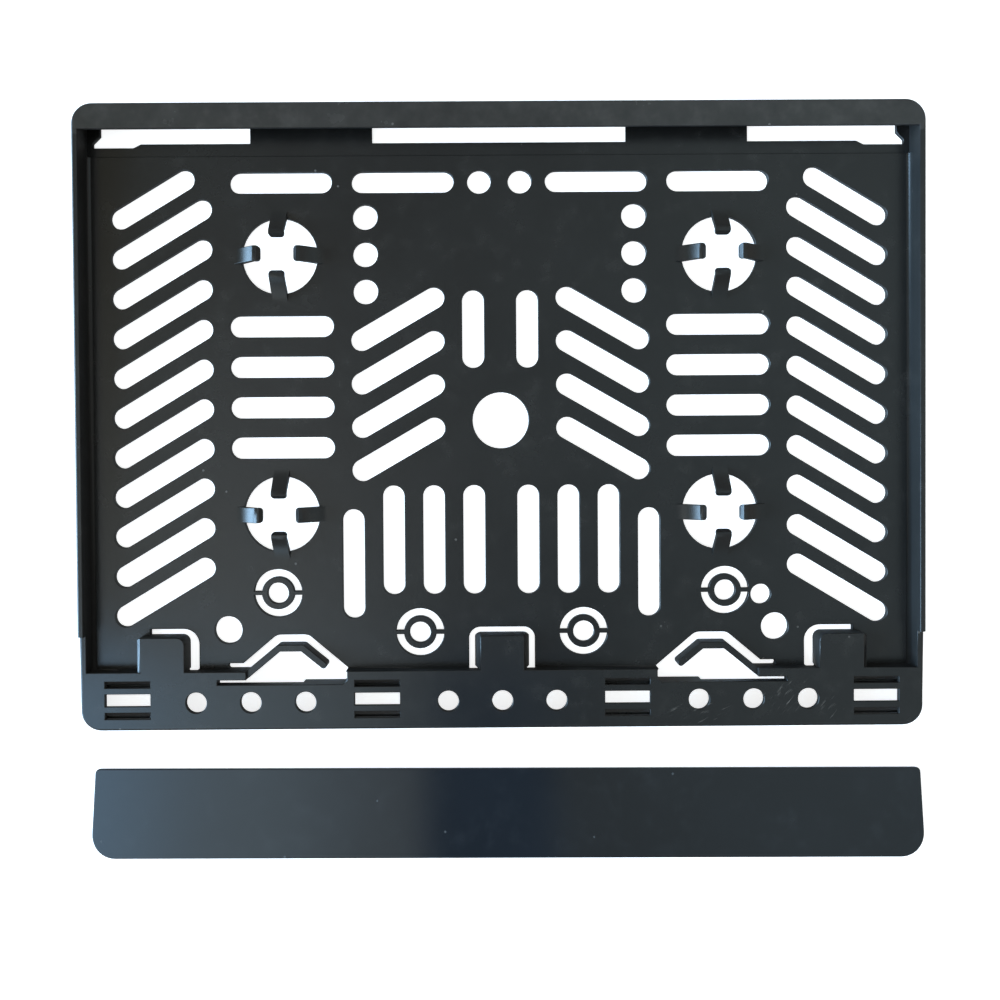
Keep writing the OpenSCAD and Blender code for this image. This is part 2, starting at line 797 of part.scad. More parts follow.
// The rib behind the strip's lower edge and its ends, as high as the band
module spacing_rib() {
    difference() {
        intersection() {
            strip_outline();
            translate([-half_w, -strip_h]) square([frame_w, band_h]);
        }
        inner_w = strip_w - 2 * strip_rib_w;
        translate([0, -strip_h / 2 + strip_rib_w / 2])
            rounded_rect(inner_w, strip_h - strip_rib_w, strip_low_r - strip_rib_w);
        translate([-inner_w / 2, -strip_h / 2]) square([inner_w, strip_h]);
    }
}

// One hook with its two barbs, pointing back from the strip
module hook() {
    shank = hook_t / 2;
    catch = shank + barb_out;
    profile = [
        [-shank, 0], [shank, 0], [shank, -hook_l + barb_d], [catch, -hook_l + barb_d],
        [shank, -hook_l], [-shank, -hook_l], [-catch, -hook_l + barb_d], [-shank, -hook_l + barb_d],
    ];
    translate([-hook_w / 2, -hook_down, 0]) rotate([90, 0, 90]) linear_extrude(hook_w) polygon(profile);
}

module retaining_strip() {
    color(strip_plastic)
        translate([strip_shift, bottom_y - strip_gap, 0]) rotate([0, 0, strip_turn])
            rotate([-strip_tilt, 0, 0]) {
                linear_extrude(strip_t) strip_outline();
                translate([0, 0, -plate_gap]) linear_extrude(plate_gap) spacing_rib();
                both_sides() for (x = [socket_near, socket_far]) translate([x, 0, 0]) hook();
            }
}

holder_frame();
retaining_strip();
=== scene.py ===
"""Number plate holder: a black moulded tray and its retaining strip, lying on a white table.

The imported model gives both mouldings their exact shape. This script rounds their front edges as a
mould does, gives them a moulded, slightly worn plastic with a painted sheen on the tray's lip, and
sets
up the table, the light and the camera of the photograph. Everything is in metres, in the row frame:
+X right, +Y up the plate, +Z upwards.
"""

import json
import logging
import math
from dataclasses import dataclass, field
from enum import Enum
from typing import Callable

import bmesh
import bpy
from mathutils import Matrix, Vector

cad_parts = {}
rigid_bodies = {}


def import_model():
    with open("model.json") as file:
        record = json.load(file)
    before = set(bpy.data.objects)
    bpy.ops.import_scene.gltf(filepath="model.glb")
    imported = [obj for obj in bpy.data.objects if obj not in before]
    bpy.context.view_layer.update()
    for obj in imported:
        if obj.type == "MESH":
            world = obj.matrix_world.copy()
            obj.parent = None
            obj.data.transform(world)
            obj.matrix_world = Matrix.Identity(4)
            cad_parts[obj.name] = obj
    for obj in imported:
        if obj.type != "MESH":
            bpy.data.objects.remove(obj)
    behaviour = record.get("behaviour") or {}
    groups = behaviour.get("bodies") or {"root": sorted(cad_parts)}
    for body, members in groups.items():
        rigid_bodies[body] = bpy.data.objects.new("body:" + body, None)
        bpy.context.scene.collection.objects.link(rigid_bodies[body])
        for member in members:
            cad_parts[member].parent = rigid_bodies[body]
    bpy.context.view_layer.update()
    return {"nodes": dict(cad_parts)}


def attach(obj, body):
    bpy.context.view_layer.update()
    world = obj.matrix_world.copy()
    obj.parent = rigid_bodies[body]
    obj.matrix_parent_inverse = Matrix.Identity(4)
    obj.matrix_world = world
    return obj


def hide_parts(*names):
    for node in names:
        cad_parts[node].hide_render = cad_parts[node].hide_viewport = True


log = logging.getLogger("plate_holder")

MM = 0.001
Colour = tuple[float, float, float]
Triple = tuple[float, float, float]
BLACK: Colour = (0.0, 0.0, 0.0)
WHITE: Colour = (1.0, 1.0, 1.0)


class Patch(Enum):
    """What a patch of the room does to the light that comes from behind it."""

    LIT = "adds its own light"
    SCREENED = "hides it"


class Socket:
    """An output of a material node that Python's operators work on."""

    def __init__(self, bench: "NodeBench", output: bpy.types.NodeSocket) -> None:
        """Wrap one output.

        Args:
            bench: The bench whose tree the output belongs to.
            output: The node output itself.
        """
        self.bench = bench
        self.output = output

    def _maths(self, operation: str, *values: "Socket | float") -> "Socket":
        """Add a Math node for one or two values and return what it gives."""
        sockets = dict(enumerate(values))
        return self.bench.node("ShaderNodeMath", {"operation": operation}, sockets)

    def __add__(self, other: "Socket | float") -> "Socket":
        """Return self + other."""
        return self._maths("ADD", self, other)

    def __radd__(self, other: float) -> "Socket":
        """Return other + self."""
        return self._maths("ADD", other, self)

    def __sub__(self, other: "Socket | float") -> "Socket":
        """Return self - other."""
        return self._maths("SUBTRACT", self, other)

    def __rsub__(self, other: float) -> "Socket":
        """Return other - self."""
        return self._maths("SUBTRACT", other, self)

    def __mul__(self, other: "Socket | float") -> "Socket":
        """Return self * other."""
        return self._maths("MULTIPLY", self, other)

    def __rmul__(self, other: float) -> "Socket":
        """Return other * self."""
        return self._maths("MULTIPLY", other, self)

    def __truediv__(self, other: "Socket | float") -> "Socket":
        """Return self / other."""
        return self._maths("DIVIDE", self, other)

    def __rtruediv__(self, other: float) -> "Socket":
        """Return other / self."""
        return self._maths("DIVIDE", other, self)

    def __gt__(self, other: "Socket | float") -> "Socket":
        """Return 1 where self is above other, and 0 elsewhere."""
        return self._maths("GREATER_THAN", self, other)

    def __abs__(self) -> "Socket":
        """Return self without its sign."""
        return self._maths("ABSOLUTE", self)

    def at_least(self, floor: float) -> "Socket":
        """Return self, or floor where self is below it."""
        return self._maths("MAXIMUM", self, floor)

    def step(self, low: float, high: float) -> "Socket":
        """Rise smoothly from 0 to 1 while the value goes from low to high.

        Args:
            low: The value that gives 0.
            high: The value that gives 1, which may be the smaller one.

        Returns:
            The smooth step.
        """
        return self.bench.node(
            "ShaderNodeMapRange",
            {"interpolation_type": "SMOOTHSTEP", "clamp": True},
            {"Value": self, "From Min": low, "From Max": high, "To Min": 0.0, "To Max": 1.0},
        )

    def part(self, axis: str) -> "Socket":
        """Return the X, Y or Z of a place or direction."""
        return self.bench.node("ShaderNodeSeparateXYZ", {}, {"Vector": self}, axis)


@dataclass(frozen=True)
class Noise:
    """A kind of cloudy noise.

    Attributes:
        scale: How many features there are to a metre.
        detail: How many finer layers are laid over them.
        rough: How strong each layer is beside the coarser one.
    """

    scale: float
    detail: float
    rough: float


class NodeBench:
    """Where a material's nodes are made and joined."""

    def __init__(self, tree: bpy.types.NodeTree) -> None:
        """Start with an empty tree.

        Args:
            tree: The node tree to fill.
        """
        self.tree = tree
        tree.nodes.clear()

    def node(
        self,
        kind: str,
        settings: dict[str, object] | None = None,
        sockets: dict[str | int, object] | None = None,
        output: str | int = 0,
    ) -> Socket:
        """Make one node, set it up and feed its sockets.

        Args:
            kind: The node's type name.
            settings: Its properties, set before its sockets.
            sockets: A value or a Socket for each input, by name or number.
            output: The output to return, by name or number.

        Returns:
            The chosen output.
        """
        made = self.tree.nodes.new(kind)
        for name, value in (settings or {}).items():
            setattr(made, name, value)
        for name, value in (sockets or {}).items():
            if isinstance(value, Socket):
                self.tree.links.new(value.output, made.inputs[name])
            else:
                made.inputs[name].default_value = value
        outputs = [one for one in made.outputs if one.enabled]
        return Socket(self, made.outputs[output] if isinstance(output, str) else outputs[output])

    def finish(self, kind: str, shader: Socket) -> None:
        """Join a shader to the tree's output node, of the given kind."""
        end = self.tree.nodes.new(kind)
        self.tree.links.new(shader.output, end.inputs["Surface"])

    def vector(self, operation: str, *values: object, output: str = "Vector") -> Socket:
        """Add a Vector Math node for one or two values and return what it gives."""
        sockets = dict(enumerate(values))
        return self.node("ShaderNodeVectorMath", {"operation": operation}, sockets, output)

    def place(self) -> Socket:
        """Return the place on the piece, in metres in the row frame."""
        return self.node("ShaderNodeTexCoord", output="Object")

    def ray(self, kind: str) -> Socket:
        """Return 1 for a ray of the given kind and 0 for any other."""
        return self.node("ShaderNodeLightPath", output=f"Is {kind} Ray")

    def turned(self, place: Socket, centre: Vector, angle: float, scale: Vector) -> Socket:
        """Lay a pattern's own axes on the piece.

        Args:
            place: Where on the piece, in metres.
            centre: The place that becomes the pattern's origin.
            angle: How far the pattern is turned about Z, in radians.
            scale: How often the pattern repeats along each of its axes, per metre.

        Returns:
            The place in the pattern.
        """
        moved = self.vector("SUBTRACT", place, tuple(centre))
        sockets = {"Vector": moved, "Angle": -angle}
        spun = self.node("ShaderNodeVectorRotate", {"rotation_type": "Z_AXIS"}, sockets)
        return self.vector("MULTIPLY", spun, tuple(scale))

    def noise(self, place: Socket, kind: Noise) -> Socket:
        """Return noise of the given kind, between 0 and 1."""
        return self.node(
            "ShaderNodeTexNoise",
            {"noise_dimensions": "3D"},
            {"Vector": place, "Scale": kind.scale, "Detail": kind.detail, "Roughness": kind.rough},
        )

    def blend(self, factor: Socket | float, first: object, second: object) -> Socket:
        """Mix two colours, from first at factor 0 to second at factor 1.

        Args:
            factor: The share of the second colour.
            first: A colour with alpha, or a Socket.
            second: A colour with alpha, or a Socket.

        Returns:
            The mixed colour.
        """
        mixed = self.tree.nodes.new("ShaderNodeMix")
        mixed.data_type = "RGBA"
        for number, value in {0: factor, 6: first, 7: second}.items():
            if isinstance(value, Socket):
                self.tree.links.new(value.output, mixed.inputs[number])
            else:
                mixed.inputs[number].default_value = value
        return Socket(self, mixed.outputs[2])


def rgba(colour: Colour) -> tuple[float, float, float, float]:
    """Return a colour with full alpha."""
    return (*colour, 1.0)


@dataclass(frozen=True)
class Scuffs:
    """A patch of fine scratches left by handling.

    Attributes:
        centre: The middle of the patch, in metres.
        reach: Its half width and half height, in metres.
        angle: The way the scratches run, in degrees from +X.
        strength: How much of the plastic's colour a scratch takes away.
        streaks: How often the scratches change along, across and below the surface, per metre.
        lines: The noise that breaks them up.
        thin: From which to which value of that noise a scratch shows.
        fading: At which share of the reach the patch is gone, and at which it is whole.
    """

    centre: tuple[float, float]
    reach: tuple[float, float]
    angle: float
    strength: float
    streaks: Triple = (170.0, 1900.0, 170.0)
    lines: Noise = Noise(1.0, 2.0, 0.6)
    thin: tuple[float, float] = (0.60, 0.72)
    fading: tuple[float, float] = (1.0, 0.45)

    def mask(self, bench: NodeBench, place: Socket) -> Socket:
        """Return 1 on a scratch of this patch and 0 elsewhere.

        Args:
            bench: The bench of the material.
            place: Where on the piece, in metres.

        Returns:
            The mask.
        """
        middle = Vector((*self.centre, 0.0))
        across, along = self.reach
        ellipse = bench.turned(place, middle, 0.0, Vector((1 / across, 1 / along, 0.0)))
        distance = bench.vector("LENGTH", ellipse, output="Value")
        streaks = bench.turned(place, middle, math.radians(self.angle), Vector(self.streaks))
        lines = bench.noise(streaks, self.lines).step(*self.thin)
        return lines * distance.step(*self.fading) * self.strength


@dataclass(frozen=True)
class MouldedPlastic:
    """Black moulded plastic with a fine grain, dust, a little wear and, on the lip's top, a painted
    sheen.

    Attributes:
        name: The material's name.
        colour: The plastic's own colour.
        dust_and_sheen: The colour of dust and of the specks on it, which the painted sheen on the
            lip also takes.
        roughness: The roughness of the clean faces that look to the front or back.
        wall_matte: How much rougher the walls of the moulding are.
        unevenness: How far the roughness strays over the surface.
        grain: The noise of the grain.
        grain_depth: How deep the grain is, in metres.
        specks: The share of 4 mm patches that hold a speck of dust.
        scuffs: The scratched patches.
        painted_sheen_from: Beyond which place up the piece, and above which height, a painted sheen
            makes the top paler and warmer.
        clouds: The noise of the slow changes over the surface.
        smears: The noise of the finer changes over it.
        speck_patches: How many patches that may hold a speck there are to a metre.
        speck_edge: Where a speck ends and where it is whole, in patches from its middle.
        cloud_span: Between which values of the clouds the colour goes from dark to light.
        smear_span: Between which values of the smears their film of dust sets in.
        shading: By what share the clouds darken and lighten the colour.
        film: How much of the dust's colour a smear, a speck and the painted sheen take.
        sheen_unevenness: How unevenly the painted sheen is laid on.
        speck_matte: How much rougher a speck is.
        smear_height: How high the smears stand beside the grain.
        wall_slope: From which to which steepness of a face it turns into a wall.
    """

    name: str
    colour: Colour
    dust_and_sheen: Colour
    roughness: float
    wall_matte: float
    unevenness: float
    grain: Noise
    grain_depth: float
    specks: float
    scuffs: tuple[Scuffs, ...] = ()
    painted_sheen_from: tuple[float, float] | None = None
    clouds: Noise = Noise(24.0, 4.0, 0.55)
    smears: Noise = Noise(130.0, 3.0, 0.6)
    speck_patches: float = 250.0
    speck_edge: tuple[float, float] = (0.13, 0.07)
    cloud_span: tuple[float, float] = (0.3, 0.7)
    smear_span: tuple[float, float] = (0.5, 0.8)
    shading: float = 0.15
    film: tuple[float, float, float] = (0.05, 0.55, 0.13)
    sheen_unevenness: float = 1.6
    speck_matte: float = 0.3
    smear_height: float = 0.6
    wall_slope: tuple[float, float] = (0.75, 0.30)

    def material(self) -> bpy.types.Material:
        """Make the material.

        Returns:
            The finished material.
        """
        made = bpy.data.materials.new(self.name)
        made.use_nodes = True
        bench = NodeBench(made.node_tree)
        place = bench.place()
        cloud = bench.noise(place, self.clouds)
        smear = bench.noise(place, self.smears)
        grain = bench.noise(place, self.grain)
        speck = self._speck(bench, place)
        bump = bench.node(
            "ShaderNodeBump",
            {},
            {
                "Strength": 1.0,
                "Distance": self.grain_depth,
                "Height": grain + smear * self.smear_height,
            },
        )
        shader = bench.node(
            "ShaderNodeBsdfPrincipled",
            {},
            {
                "Base Color": self._colour(bench, place, cloud, smear, speck),
                "Roughness": self._roughness(bench, cloud, smear, speck),
                "Normal": bump,
                "IOR": 1.5,
            },
        )
        bench.finish("ShaderNodeOutputMaterial", shader)
        return made

    def _speck(self, bench: NodeBench, place: Socket) -> Socket:
        """Return 1 on a speck of dust and 0 elsewhere.

        Args:
            bench: The bench of the material.
            place: Where on the piece, in metres.

        Returns:
            The mask.
        """
        cells = {"feature": "F1", "voronoi_dimensions": "3D"}
        sockets = {"Vector": place, "Scale": self.speck_patches, "Randomness": 1.0}
        distance = bench.node("ShaderNodeTexVoronoi", cells, sockets, "Distance")
        lot = bench.node("ShaderNodeTexVoronoi", cells, sockets, "Color")
        share = bench.node("ShaderNodeSeparateColor", {}, {"Color": lot}, "Red")
        return (share > (1.0 - self.specks)) * distance.step(*self.speck_edge)

    def _colour(
        self, bench: NodeBench, place: Socket, cloud: Socket, smear: Socket, speck: Socket
    ) -> Socket:
        """Colour the plastic, with its dust, the painted sheen on the lip's top and its scratches.

        Args:
            bench: The bench of the material.
            place: Where on the piece, in metres.
            cloud: The slow changes over the surface.
            smear: The finer changes over it.
            speck: The mask of the specks.

        Returns:
            The colour.
        """
        darker = rgba(tuple((1.0 - self.shading) * part for part in self.colour))
        lighter = rgba(tuple((1.0 + self.shading) * part for part in self.colour))
        dust_and_sheen = rgba(self.dust_and_sheen)
        on_smear, on_speck, sheen_share = self.film
        colour = bench.blend(cloud.step(*self.cloud_span), darker, lighter)
        film = smear.step(*self.smear_span) * on_smear + speck * on_speck
        colour = bench.blend(film, colour, dust_and_sheen)
        # Painted sheen: the lip's top is blended paler and warmer, towards the dust colour, in
        # place of the light it mirrors.
        if self.painted_sheen_from:
            painted_sheen = 1.0 + (smear - 0.5) * self.sheen_unevenness
            for axis, low in zip("YZ", self.painted_sheen_from):
                painted_sheen = place.part(axis).step(low, low + MM) * painted_sheen
            colour = bench.blend(painted_sheen * sheen_share, colour, dust_and_sheen)
        scratch: Socket | float = 0.0
        for patch in self.scuffs:
            scratch = patch.mask(bench, place) + scratch
        return bench.blend(scratch, colour, dust_and_sheen)

    def _roughness(
        self, bench: NodeBench, cloud: Socket, smear: Socket, speck: Socket
    ) -> Socket:
        """Return the roughness: uneven, higher on the walls and on the specks.

        Args:
            bench: The bench of the material.
            cloud: The slow changes over the surface.
            smear: The finer changes over it.
            speck: The mask of the specks.

        Returns:
            The roughness.
        """
        outwards = bench.node("ShaderNodeTexCoord", output="Normal")
        wall = abs(outwards.part("Z")).step(*self.wall_slope)
        faces = self.roughness + wall * self.wall_matte
        uneven = faces + (cloud - 0.5) * self.unevenness
        return uneven + (smear - 0.5) * (0.5 * self.unevenness) + speck * self.speck_matte


FRAME_PLASTIC = MouldedPlastic(
    name="frame_black_plastic",
    colour=(0.0105, 0.0095, 0.0085),
    # Dust colour, also taken by the painted sheen on the lip's top.
    dust_and_sheen=(0.20, 0.17, 0.145),
    roughness=0.26,
    wall_matte=0.34,
    unevenness=0.10,
    grain=Noise(2200.0, 2.0, 0.7),
    grain_depth=0.00004,
    specks=0.05,
    scuffs=(
        Scuffs((0.097, -0.107), (0.012, 0.008), 48.0, 0.6),
        Scuffs((0.068, -0.113), (0.014, 0.005), 25.0, 0.5),
        Scuffs((0.112, -0.112), (0.007, 0.005), 48.0, 0.4),
    ),
    # Beyond this place up the frame and above this height, the lip's top gets a painted sheen.
    painted_sheen_from=(0.0855, 0.0095),
)
STRIP_PLASTIC = MouldedPlastic(
    name="strip_black_plastic",
    colour=(0.007, 0.008, 0.0095),
    dust_and_sheen=(0.13, 0.135, 0.14),
    roughness=0.15,
    wall_matte=0.30,
    unevenness=0.05,
    grain=Noise(2600.0, 2.0, 0.7),
    grain_depth=0.00002,
    specks=0.09,
)


def only_nothing() -> None:
    """Deselect everything."""
    for other in bpy.context.view_layer.objects:
        other.select_set(False)


def only(thing: bpy.types.Object) -> None:
    """Select one object and make it active, with nothing else selected."""
    only_nothing()
    thing.select_set(True)
    bpy.context.view_layer.objects.active = thing


def everywhere(a: Vector, b: Vector) -> bool:
    """Say that an edge between any two places is wanted."""
    return True


@dataclass(frozen=True)
class Rounding:
    """One pass of edge rounding.

    Attributes:
        radius: How much of each face the rounding takes, in metres.
        segments: Into how many faces it is divided.
        wanted: Says whether an edge between two places is rounded in this pass.
    """

    radius: float
    segments: int
    wanted: Callable[[Vector, Vector], bool]


@dataclass
class Moulding:
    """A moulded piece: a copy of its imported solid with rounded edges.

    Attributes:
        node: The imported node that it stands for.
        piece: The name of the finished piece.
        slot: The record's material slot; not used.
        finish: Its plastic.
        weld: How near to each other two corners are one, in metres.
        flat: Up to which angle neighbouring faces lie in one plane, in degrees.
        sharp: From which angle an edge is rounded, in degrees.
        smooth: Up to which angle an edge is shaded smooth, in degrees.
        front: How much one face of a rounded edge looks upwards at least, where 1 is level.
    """

    node: str
    piece: str
    slot: str
    finish: MouldedPlastic
    weld: float = 0.001 * MM
    flat: float = 0.5
    sharp: float = 35.0
    smooth: float = 40.0
    front: float = 0.5

    def passes(self) -> tuple[Rounding, ...]:
        """Return the edge roundings, in order."""
        raise NotImplementedError

    def build(self, nodes: dict[str, bpy.types.Object]) -> bpy.types.Object:
        """Copy the solid, round it and dress it.

        Args:
            nodes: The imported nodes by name.

        Returns:
            The finished piece.
        """
        source = nodes[self.node]
        made = bpy.data.objects.new(self.piece, source.data.copy())
        bpy.context.scene.collection.objects.link(made)
        self._join_faces(made)
        for one in self.passes():
            self._round(made, one)
        self._shade(made)
        made.data.materials.clear()
        made.data.materials.append(self.finish.material())
        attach(made, "root")
        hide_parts(self.node)
        log.info("%s: %d faces", self.piece, len(made.data.polygons))
        return made

    def _join_faces(self, thing: bpy.types.Object) -> None:
        """Merge the copy's loose triangles and join those that lie in one plane."""
        only(thing)
        bpy.ops.object.mode_set(mode="EDIT")
        bpy.ops.mesh.select_all(action="SELECT")
        bpy.ops.mesh.remove_doubles(threshold=self.weld)
        bpy.ops.mesh.dissolve_limited(angle_limit=math.radians(self.flat))
        bpy.ops.mesh.select_all(action="DESELECT")
        bpy.ops.object.mode_set(mode="OBJECT")

    def _is_front_edge(self, edge: bmesh.types.BMEdge) -> bool:
        """Say whether an edge is sharp, stands out and borders a face that looks upwards."""
        if len(edge.link_faces) != 2 or not edge.is_convex:
            return False
        if edge.calc_face_angle(0.0) < math.radians(self.sharp):
            return False
        return max(face.normal.z for face in edge.link_faces) >= self.front

    def _round(self, thing: bpy.types.Object, one: Rounding) -> None:
        """Round the sharp edges of the front that this pass wants.

        Args:
            thing: The piece.
            one: The pass.
        """
        only(thing)
        bpy.ops.object.mode_set(mode="EDIT")
        bpy.ops.mesh.select_mode(type="EDGE")
        bpy.ops.mesh.select_all(action="DESELECT")
        mesh = bmesh.from_edit_mesh(thing.data)
        count = 0
        for edge in mesh.edges:
            if self._is_front_edge(edge) and one.wanted(edge.verts[0].co, edge.verts[1].co):
                edge.select = True
                count += 1
        mesh.select_flush_mode()
        bmesh.update_edit_mesh(thing.data)
        if count:
            bpy.ops.mesh.bevel(
                offset=one.radius, segments=one.segments, profile=0.5, affect="EDGES",
                clamp_overlap=False, loop_slide=False, miter_outer="SHARP",
            )
        bpy.ops.mesh.select_all(action="DESELECT")
        bpy.ops.object.mode_set(mode="OBJECT")
        log.info("%s: %d edges rounded by %.2f mm", thing.name, count, one.radius / MM)

    def _shade(self, thing: bpy.types.Object) -> None:
        """Shade smooth across the roundings and the true arcs, and sharp elsewhere."""
        only(thing)
        bpy.ops.object.shade_smooth_by_angle(angle=math.radians(self.smooth))
        steady = thing.modifiers.new("flat_faces_stay_flat", "WEIGHTED_NORMAL")
        steady.keep_sharp = True
        bpy.ops.object.modifier_apply(modifier=steady.name)


@dataclass
class HolderFrame(Moulding):
    """The tray with its lip, band, tabs and fingers.

    Attributes:
        half_width: Half its width, in metres.
        low: Where its outline ends below, in metres.
        high: Where its outline ends above, in metres.
        corner: How far in from the outline its rounded corners reach, in metres.
        side_top: Above which height the outer edge is rounded, in metres.
        near: How near to the outline a place is on it, in metres.
        level: By how much an edge of the rim may rise, in metres.
        finger_x: How far left and right the holes with spring fingers lie, in metres.
        finger_y: How far up and down they lie, in metres.
        finger_reach: How far from its middle such a hole and its fingers reach, in metres.
        rim_radius: How much the outer rim is rounded, in metres.
        edge_radius: How much the other edges are rounded, in metres.
    """

    node: str = "holder_frame"
    piece: str = "holder_frame_moulding"
    slot: str = "frame_plastic"
    finish: MouldedPlastic = FRAME_PLASTIC
    half_width: float = 145.5 * MM
    low: float = -118.5 * MM
    high: float = 96.5 * MM
    corner: float = 7.2 * MM
    side_top: float = 6.0 * MM
    near: float = 0.3 * MM
    level: float = 0.2 * MM
    finger_x: float = 76.7 * MM
    finger_y: tuple[float, float] = (45.7 * MM, -44.4 * MM)
    finger_reach: float = 13.0 * MM
    rim_radius: float = 0.8 * MM
    edge_radius: float = 0.25 * MM

    def passes(self) -> tuple[Rounding, ...]:
        """Round the outer rim well and the other edges a little."""
        return (
            Rounding(self.rim_radius, 3, self._on_rim),
            Rounding(self.edge_radius, 2, self._inside),
        )

    def _is_outside(self, place: Vector) -> bool:
        """Say whether a place is on the frame's outer edge, above its back face."""
        on_side = abs(abs(place.x) - self.half_width) < self.near
        on_end = min(abs(place.y - self.low), abs(place.y - self.high)) < self.near
        in_corner = abs(place.x) > self.half_width - self.corner and (
            place.y < self.low + self.corner or place.y > self.high - self.corner
        )
        return (on_side or on_end or in_corner) and place.z > self.side_top

    def _is_on_finger(self, place: Vector) -> bool:
        """Say whether a place is on one of the four holes with spring fingers."""
        across = abs(place.x) - self.finger_x
        along = min(abs(place.y - middle) for middle in self.finger_y)
        return math.hypot(across, along) < self.finger_reach

    def _on_rim(self, a: Vector, b: Vector) -> bool:
        """Say whether an edge is part of the frame's outer rim."""
        return self._is_outside(a) and self._is_outside(b) and abs(a.z - b.z) < self.level

    def _inside(self, a: Vector, b: Vector) -> bool:
        """Say whether an edge is neither part of the outside nor of a finger hole."""
        outside = self._is_outside(a) and self._is_outside(b)
        return not outside and not (self._is_on_finger(a) and self._is_on_finger(b))


@dataclass
class RetainingStrip(Moulding):
    """The strip that clips over the band.

    Attributes:
        edge_radius: How much its edges are rounded, in metres.
    """

    node: str = "retaining_strip"
    piece: str = "retaining_strip_moulding"
    slot: str = "strip_plastic"
    finish: MouldedPlastic = STRIP_PLASTIC
    edge_radius: float = 0.35 * MM

    def passes(self) -> tuple[Rounding, ...]:
        """Round every edge of the front."""
        return (Rounding(self.edge_radius, 3, everywhere),)


@dataclass(frozen=True)
class RoomPatch:
    """A soft patch of the room above the table.

    Attributes:
        towards: The way from the table to the middle of the patch.
        colour: Its colour, where 1 is white.
        kind: What it does to the light from behind it.
    """

    towards: Triple
    colour: Colour
    kind: Patch = field(default=Patch.LIT, kw_only=True)

    def mask(self, bench: NodeBench, way: Socket) -> Socket:
        """Return 1 where the patch is whole and 0 outside it."""
        raise NotImplementedError

    def over(self, bench: NodeBench, way: Socket, behind: object) -> Socket:
        """Lay the patch over what lies behind it.

        Args:
            bench: The bench of the world.
            way: The way that is looked in.
            behind: The colour behind the patch.

        Returns:
            The colour with the patch.
        """
        mask = self.mask(bench, way)
        if self.kind is Patch.SCREENED:
            return bench.blend(mask, behind, rgba(self.colour))
        light = bench.blend(mask, rgba(BLACK), rgba(self.colour))
        return bench.vector("ADD", behind, light)


@dataclass(frozen=True)
class Glow(RoomPatch):
    """A round patch.

    Attributes:
        inner: How far from its middle the patch keeps its full colour, in degrees.
        outer: Where it ends, in degrees.
    """

    inner: float
    outer: float

    def mask(self, bench: NodeBench, way: Socket) -> Socket:
        """Return 1 where the patch is whole and 0 outside it.

        Args:
            bench: The bench of the world.
            way: The way that is looked in.

        Returns:
            The mask.
        """
        axis = tuple(Vector(self.towards).normalized())
        nearness = bench.vector("DOT_PRODUCT", way, axis, output="Value")
        return nearness.step(math.cos(math.radians(self.outer)), math.cos(math.radians(self.inner)))


@dataclass(frozen=True)
class Panel(RoomPatch):
    """A four-sided patch that hangs level above the table.

    Its lengths are for a height of 1 m.

    Attributes:
        half: Its half width and half length, in metres.
        soft: Half the width of its soft edge, in metres.
        horizon: Below which rise a way counts as level.
    """

    half: tuple[float, float]
    soft: float
    horizon: float = 0.05

    def mask(self, bench: NodeBench, way: Socket) -> Socket:
        """Return 1 where the panel is whole and 0 outside it.

        Args:
            bench: The bench of the world.
            way: The way that is looked in.

        Returns:
            The mask.
        """
        up = way.part("Z").at_least(self.horizon)
        mask: Socket | float = 1.0
        for axis, middle, half in zip("XY", self.towards, self.half):
            away = abs(way.part(axis) / up - middle)
            mask = away.step(half + self.soft, half - self.soft) * mask
        return mask


@dataclass(frozen=True)
class Card:
    """A level card above the table that shows only in the gloss of the plastic.

    Attributes:
        name: The card's name.
        height: How high it hangs, in metres.
        low: Its lowest X and Y, in metres.
        high: Its highest X and Y, in metres.
        colour: Its colour where no fade has begun.
        fades: Where along X each new colour begins and is reached, and that colour.
    """

    name: str
    height: float
    low: tuple[float, float]
    high: tuple[float, float]
    colour: Colour
    fades: tuple[tuple[float, float, Colour], ...]

    def hang(self) -> bpy.types.Object:
        """Hang the card over the table.

        Returns:
            The card.
        """
        middle = [(low + high) / 2 for low, high in zip(self.low, self.high)]
        only_nothing()
        bpy.ops.mesh.primitive_plane_add(size=1.0, location=(*middle, self.height))
        card = bpy.context.object
        card.name = self.name
        card.scale = (self.high[0] - self.low[0], self.high[1] - self.low[1], 1.0)
        bpy.ops.object.transform_apply(location=True, rotation=False, scale=True)
        card.data.materials.append(self._light())
        for ray in ("camera", "diffuse", "transmission", "shadow"):
            setattr(card, f"visible_{ray}", False)
        return card

    def _light(self) -> bpy.types.Material:
        """Make the card's light, which changes along X.

        Returns:
            The finished material.
        """
        made = bpy.data.materials.new(self.name)
        made.use_nodes = True
        bench = NodeBench(made.node_tree)
        along = bench.place().part("X")
        colour: object = rgba(self.colour)
        for begins, reached, new in self.fades:
            colour = bench.blend(along.step(begins, reached), colour, rgba(new))
        glow = bench.node("ShaderNodeEmission", {}, {"Color": colour, "Strength": 1.0})
        bench.finish("ShaderNodeOutputMaterial", glow)
        return made


